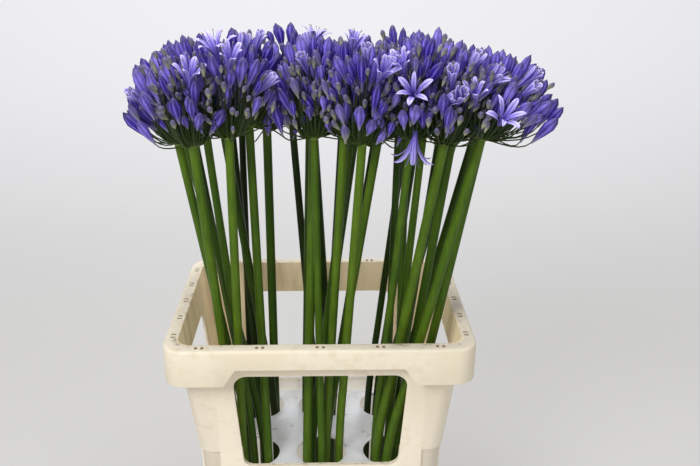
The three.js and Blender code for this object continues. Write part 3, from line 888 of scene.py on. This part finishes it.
MM = 0.001
TEPAL_LINE = (  # out from the flower's axis and up from its root, in millimetres
    (1.6, 0), (2.6, 7), (4.0, 13), (7.0, 20), (11.5, 26), (16.5, 30), (20.5, 31.5), (24, 31),
)
TEPAL_HALF_WIDTHS = (1.0, 1.5, 2.2, 3.1, 3.8, 3.6, 2.4, 0.35)
TEPAL_COLUMNS, TEPAL_THICKNESS = 4, 0.0004
TEPAL_CUP = 0.25  # how far a tepal's edges stand in front of its middle
OUTER_WIDTH, OUTER_FLARE = 0.78, 1.06  # of the outer three tepals
TEPAL_TURNS, TEPAL_BENDS = (-0.09, 0.09), (-0.13, 0.10)
STAMEN_LINE = ((1.2, 8), (4, 20), (8, 30), (13, 36))
STAMEN_RADIUS, ANTHER_SIZE, ANTHER_LEAN = 0.00035, (0.0007, 0.0007, 0.0015, 1), 0.9

PEDICEL_RADIUS, PEDICEL_SIDES, PEDICEL_STEPS = 0.0008, 6, 6
PEDICEL_ROOT, PEDICEL_SINK = 0.004, 0.002  # out on the knob, and into the floret
LEAVING, ARRIVING = 0.42, 0.28  # how long its handles are, as shares of its span
KNOB_RADIUS, KNOB_HEIGHT = 0.0062, 0.0042
STALK_REACH, STALK_CURVED = 0.06, 60  # how far out its colours go, and the smoothing angle

VIOLET = (0.042, 0.019, 0.31, 1)
VIOLET_LIGHT = (0.33, 0.255, 0.90, 1)
VIOLET_DEEP = (0.008, 0.003, 0.075, 1)
BUD_GREEN = (0.40, 0.42, 0.24, 1)
BUD_GREY = (0.125, 0.108, 0.19, 1)
BUD_TIP = (0.028, 0.024, 0.062, 1)
PETAL = (0.21, 0.16, 0.62, 1)
PETAL_PALE = (0.54, 0.48, 0.92, 1)
PETAL_STRIPE = (0.085, 0.055, 0.42, 1)
ANTHER = (0.30, 0.18, 0.055, 1)
PEDICEL_GREEN = (0.024, 0.048, 0.008, 1)
PEDICEL_PALE = (0.17, 0.25, 0.04, 1)
# painted shade on the pedicels deep in the ball, among the florets
PEDICEL_PAINTED_SHADE = (0.020, 0.022, 0.020, 1)


def bud(name, sides, stations):
    """A closed bud one unit long and one unit in radius, grooved between its tepals."""
    made = primitive(bpy.ops.mesh.primitive_circle_add, vertices=sides, radius=1)
    made.name = name
    bpy.ops.object.mode_set(mode="EDIT")
    pick("EDGE", lambda edge: True)
    for number, (rise, radius) in enumerate(stations):
        if number:
            bpy.ops.mesh.extrude_region_move()
        for vertex in selected_vertices():
            angle = math.atan2(vertex.co.y, vertex.co.x)
            in_groove = round(angle / (2 * math.pi) * sides) % 2
            reach = radius * (BUD_GROOVE if in_groove and number > 1 else 1)
            vertex.co = (reach * math.cos(angle), reach * math.sin(angle), rise)
    extrude_up(1 - stations[-1][0])
    bpy.ops.mesh.merge(type="CENTER")
    face_outward()
    bpy.ops.object.mode_set(mode="OBJECT")
    bpy.ops.object.shade_smooth()
    points = places_of(made.data)
    turns = np.round(np.arctan2(points[:, 1], points[:, 0]) / (2 * np.pi) * sides) % 2
    mark(made.data, "along", points[:, 2])
    mark(made.data, "ridge", np.where(points[:, 2] > 0.99, 0.5, 1 - turns))
    return made


def tepal(width_share, flare):
    """One tepal of an open flower, bent along its line and cupped across."""
    long, wide = len(TEPAL_LINE) - 1, TEPAL_COLUMNS
    squares = {"x_subdivisions": wide, "y_subdivisions": long}
    made = primitive(bpy.ops.mesh.primitive_grid_add, size=1, **squares)
    for vertex in made.data.vertices:
        along = (vertex.co.y + 0.5) * long
        step = round(along)
        out, up = (MM * c for c in TEPAL_LINE[step])
        out *= min(1, flare + 0.25 * (1 - along / long)) if flare < 1 else flare
        up += 0.009 * (1 - flare) * (along / long) ** 2
        half = MM * TEPAL_HALF_WIDTHS[step] * width_share
        across = 2 * vertex.co.x
        cup = TEPAL_CUP * half * across ** 2
        vertex.co = (out - cup * (0.3 if step > 4 else -0.4), across * half, up + cup * (step > 2))
    numbers = np.arange(len(made.data.vertices))
    mark(made.data, "along", numbers // (wide + 1) / long)
    mark(made.data, "ridge", 1 - np.abs(2 * (numbers % (wide + 1)) / wide - 1))
    modify(made, "SOLIDIFY", thickness=TEPAL_THICKNESS)
    bpy.ops.object.shade_smooth()
    return made


def gather(name, parts):
    """One mesh from (mesh, matrix, material number) parts. The parts' attributes stay."""
    joined = bmesh.new()
    for mesh, matrix, material in parts:
        copy = mesh.copy()
        copy.transform(matrix)
        if material is not None:
            copy.polygons.foreach_set("material_index", [material] * len(copy.polygons))
        joined.from_mesh(copy)
        bpy.data.meshes.remove(copy)
    result = bpy.data.meshes.new(name)
    joined.to_mesh(result)
    joined.free()
    return result


def flower(name, flare):
    """Six tepals in two whorls, the outer ones narrower, round six stamens."""
    inner, outer = tepal(1.0, flare), tepal(OUTER_WIDTH, flare * OUTER_FLARE)
    knots = [Vector((MM * out * flare, 0, MM * up)) for out, up in STAMEN_LINE]
    line = [(place, None, None, 1) for place in knots]
    stamen = tube("stamen", [line], STAMEN_RADIUS, sides=4, steps=2)
    anther = primitive(bpy.ops.mesh.primitive_ico_sphere_add, subdivisions=1, radius=1)
    tip = Matrix.Translation(knots[-1]) @ Matrix.Rotation(ANTHER_LEAN, 4, "Y")
    tip = tip @ Matrix.Diagonal(ANTHER_SIZE)
    parts = []
    for number in range(6):
        angle = number * math.pi / 3
        turn = Matrix.Rotation(angle + random.uniform(*TEPAL_TURNS), 4, "Z")
        bend = Matrix.Rotation(random.uniform(*TEPAL_BENDS), 4, "Y")
        between = Matrix.Rotation(angle + math.pi / 6, 4, "Z")
        parts.append(((outer if number % 2 else inner).data, turn @ bend, 1))
        parts.append((stamen.data, between, 1))
        parts.append((anther.data, between @ tip, 2))
    made = gather(name, parts)
    for spare in (inner, outer, stamen, anther):
        bpy.data.objects.remove(spare)
    return made


random.seed(UMBEL_SEED)
big_bud = bud("bud", BUD_SIDES, BUD_STATIONS)
small_bud = bud("small_bud", SMALL_BUD_SIDES, SMALL_BUD_STATIONS)
blooms = {
    "star": flower("star_flower", 0.95),
    "open": flower("open_flower", 0.66),
    "half": flower("half_flower", 0.30),
    "hang": flower("hanging_flower", 1.1),
}


def umbel_frame(middles):
    """Stands on the end of a scape and leans as its last stretch does."""
    turn = (middles[-1] - middles[-2]).to_track_quat("Z", "Y").to_matrix().to_4x4()
    return Matrix.Translation(middles[-1]) @ turn


def floret_frame(side, top, polar, turn, reach, length, lean):
    """A floret's root and axis, from where its tip points and reaches, and its lean."""
    out = Vector((math.cos(turn), math.sin(turn), 0)) * math.sin(polar)
    tip = out * side * reach
    tip.z = UMBEL_CENTRE + (top - UMBEL_CENTRE) * reach * math.cos(polar)
    axis = (out * lean[0] + Vector((0, 0, lean[1]))).normalized()
    return tip - axis * length, axis


def pedicel(stand, root, axis, polar, turn):
    """A stalk's knots: away from the knob on the scape, and round into the floret's root."""
    spread = Vector((math.cos(turn), math.sin(turn), 0))
    start = Vector((0, 0, 0.001)) + spread * PEDICEL_ROOT * min(1, math.sin(polar) + 0.2)
    span = (root - start).length
    upward = 0.04 + 0.9 * max(0, math.cos(polar)) ** 1.5
    leave = spread * math.sin(polar) * 1.1 + Vector((0, 0, upward))
    leave = start + leave.normalized() * span * LEAVING
    arrive = root - axis * span * ARRIVING
    end = root + axis * PEDICEL_SINK
    start, leave, arrive, end = (stand @ place for place in (start, leave, arrive, end))
    return [(start, start, leave, 1.2), (end, arrive, end, 0.9)]


def balls_of(root, axis, length, radius):
    """Balls that fill a floret, as rows of x, y, z and radius."""
    return np.array([[*(root + axis * length * t), radius * r] for t, r in FLORET_BALLS])


def clear_of(balls, others):
    """Whether a floret's balls keep far enough from the balls near it."""
    gaps = np.linalg.norm(balls[:, None, :3] - others[None, :, :3], axis=2)
    return (gaps > CROWDING * (balls[:, None, 3] + others[None, :, 3])).all()


def wanted_florets(number, lowest):
    """What an umbel should carry: each floret's kind, angle from the top and turn."""
    wanted = []
    for kind, polar, turn in FLOWERS.get(number, ()):
        wanted.append((kind, math.radians(polar), math.radians(turn)))
    kinds = []
    for kind, facts in KINDS.items():
        kinds += [kind] * round(facts["share"] * FLORET_COUNT)
    places = list(range(len(kinds)))
    random.shuffle(places)
    start = random.uniform(0, 2 * math.pi)
    for kind, place in zip(kinds, places):
        share = (place + 0.5) / len(kinds)
        polar = math.acos(HIGHEST + (lowest - HIGHEST) * share)
        if kind == "large" and polar > LARGE_TO:
            kind = "small"
        wanted.append((kind, polar, start + place * GOLDEN_TURN))
    return wanted


def draw_floret(kind, polar, turn, attempt):
    """One try: where a floret's tip points and reaches, its size, and its lean and rise."""
    if kind in blooms:
        lean = (random.uniform(*FLOWER_LEAN), 1.0)
        if kind == "hang":
            lean = HANGING_FLOWER_LEAN
        return polar, turn, 1.0, FLOWER_SIZES[kind], lean
    facts = KINDS[kind]
    loosening = 1 + LOOSENING * attempt
    polar = abs(polar + random.uniform(-POLAR_VARIES, POLAR_VARIES) * loosening)
    turn += random.uniform(-TURN_VARIES, TURN_VARIES) * loosening
    reach = random.uniform(*facts["reach"]) * (1 - SHRINKING * attempt)
    size = (random.uniform(*facts["length"]), random.uniform(*facts["radius"]))
    lean = (random.uniform(*facts["lean"]), 1.0)
    if polar > HANGING_FROM and random.random() < HANGING_SHARE:
        lean = HANGING_LEAN
    return polar, turn, reach, size, lean


scape_balls = []
for middles in scape_lines:
    for low, high in zip(middles[NECK_FROM:], middles[NECK_FROM + 1:]):
        for step in range(SCAPE_BALLS):
            scape_balls.append([*low.lerp(high, step / SCAPE_BALLS), SCAPE_BALL])
placed = [np.array(scape_balls)]
umbel_pieces, pedicel_pieces = [], []
for bunch, first, last in BUNCHES:
    for number in range(first, last + 1):
        middles = scape_lines[number - 1]
        stand, head = umbel_frame(middles), middles[-1]
        loose = max(0.0, min(LOOSEST, (head.x - LOOSE_FROM) / (LOOSE_TO - LOOSE_FROM)))
        side = UMBEL_SIDE + loose * (UMBEL_LOOSE_SIDE - UMBEL_SIDE)
        outer = max(0.0, min(1.0, (abs(head.x) - OUTER_FROM) / (OUTER_TO - OUTER_FROM)))
        top = UMBEL_TOP - OUTER_DROP * outer
        near = np.concatenate(placed)
        heart = np.array(stand @ Vector((0, 0, NEAR_HEIGHT)))
        near = near[np.linalg.norm(near[:, :3] - heart, axis=1) < NEAR_REACH]
        parts, stalks = [], []
        for kind, wanted_polar, wanted_turn in wanted_florets(number, LOWEST + OUTER_LIFT * outer):
            for attempt in range(TRIES):
                drawn = draw_floret(kind, wanted_polar, wanted_turn, attempt)
                polar, turn, reach, (length, radius), lean = drawn
                root, axis = floret_frame(side, top, polar, turn, reach, length, lean)
                root_there, axis_there = stand @ root, stand.to_3x3() @ axis
                balls = balls_of(root_there, axis_there, length, radius)
                if kind in blooms or clear_of(balls, near):
                    break
            else:
                continue
            near = np.concatenate([near, balls])
            placed.append(balls)
            twist = Matrix.Rotation(random.uniform(0, math.pi), 4, "Z")
            pose = axis_there.to_track_quat("Z", "Y").to_matrix().to_4x4() @ twist
            if kind in blooms:
                copy = blooms[kind].copy()
                size = Matrix.Scale(random.uniform(*FLOWER_SCALE), 4)
            else:
                copy = (small_bud if kind == "small" else big_bud).data.copy()
                size = Matrix.Diagonal((radius, radius, length, 1))
                mark(copy, "age", random.uniform(*KINDS[kind]["age"]))
            # Painted shade: the florets of the umbels at the back get less of the light violet.
            mark(copy, "tint_and_shade", random.random() * (BACK_SHADE if head.y > BACK_FROM else 1))
            parts.append((copy, Matrix.Translation(root_there) @ pose @ size, None))
            stalks.append(pedicel(stand, root, axis, polar, turn))
        umbel = put(f"umbel_{number:02d}_florets", gather("florets", parts))
        for copy, _, _ in parts:
            bpy.data.meshes.remove(copy)
        thin = tube("stalks", stalks, PEDICEL_RADIUS, PEDICEL_SIDES, PEDICEL_STEPS)
        knob = primitive(bpy.ops.mesh.primitive_uv_sphere_add, segments=10, ring_count=6, radius=1)
        size = Matrix.Diagonal((KNOB_RADIUS, KNOB_RADIUS, KNOB_HEIGHT, 1))
        parts = [(thin.data, Matrix.Identity(4), None), (knob.data, stand @ size, None)]
        pedicels = put(f"umbel_{number:02d}_pedicels", gather("pedicels", parts))
        for spare in (thin, knob):
            bpy.data.objects.remove(spare)
        smooth(pedicels, STALK_CURVED)
        away = np.linalg.norm(places_of(pedicels.data) - np.array(head), axis=1)
        mark(pedicels.data, "along", away / STALK_REACH)
        umbel_pieces.append(umbel)
        pedicel_pieces.append(pedicels)
        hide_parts(bunch)
        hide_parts(bunch)
        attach(umbel, "root")
        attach(pedicels, "root")
for spare in (big_bud, small_bud):
    bpy.data.objects.remove(spare)

skin = Finish("bud_skin")
along, ridge, tint_and_shade = (skin.stored(name) for name in ("along", "ridge", "tint_and_shade"))
grain = skin.noise(0.004)
young = 1 - skin.ramp(skin.stored("age"), 0.25, 0.75)
budding = skin.blend(skin.ramp(along, 0.25, 0.85), BUD_GREEN, BUD_GREY)
rooted = 1 - skin.ramp(along, 0.02, 0.40)
colour = skin.layers(
    VIOLET,
    (skin.ramp(tint_and_shade + grain * 0.4, 0.35, 1.6), VIOLET_LIGHT),
    (skin.ramp(ridge, 0.55, 1.1) * 0.80, VIOLET_DEEP),
    (skin.ramp(0.45 - ridge, 0.0, 0.45) * 0.55, VIOLET_LIGHT),
    (skin.ramp(along + grain * 0.2, 0.76, 1.10) * 0.85, BUD_TIP),
    (young * 0.9, budding),
    (rooted * 0.5, BUD_GREEN),
)
skin.surface({
    "Base Color": colour,
    "Roughness": 0.42 + 0.12 * grain,
    "Specular IOR Level": 0.3,
    "Normal": skin.bump(grain, 0.0002, 0.3),
})

petals = Finish("open_petals")
grain = petals.noise(0.003)
pale = petals.ramp(petals.stored("along"), 0.2, 0.9)
stripe = petals.ramp(petals.stored("ridge"), 0.62, 1.0)
colour = petals.layers(PETAL, (pale, PETAL_PALE), (stripe * 0.8, PETAL_STRIPE))
petals.surface({"Base Color": colour, "Roughness": 0.45 + 0.1 * grain})

pollen = Finish("anthers")
colour = pollen.blend(pollen.noise(0.001, detail=2), ANTHER, PEDICEL_PALE)
pollen.surface({"Base Color": colour})

stalk = Finish("pedicel_green")
along = stalk.stored("along")
grain = stalk.noise(0.006)
colour = stalk.layers(
    PEDICEL_PALE,
    (stalk.ramp(along, 0.05, 0.35), PEDICEL_GREEN),
    # Painted shade: the pedicels go nearly black far from the knob, deep among the florets.
    (stalk.ramp(along + grain * 0.3, 0.7, 1.2) * 0.6, PEDICEL_PAINTED_SHADE),
)
stalk.surface({
    "Base Color": colour,
    "Roughness": 0.42 + 0.15 * grain,
    "Specular IOR Level": 0.25,
})
stalk.apply(*pedicel_pieces)
for piece in umbel_pieces:
    for finish in (skin, petals, pollen):
        piece.data.materials.append(finish.material)
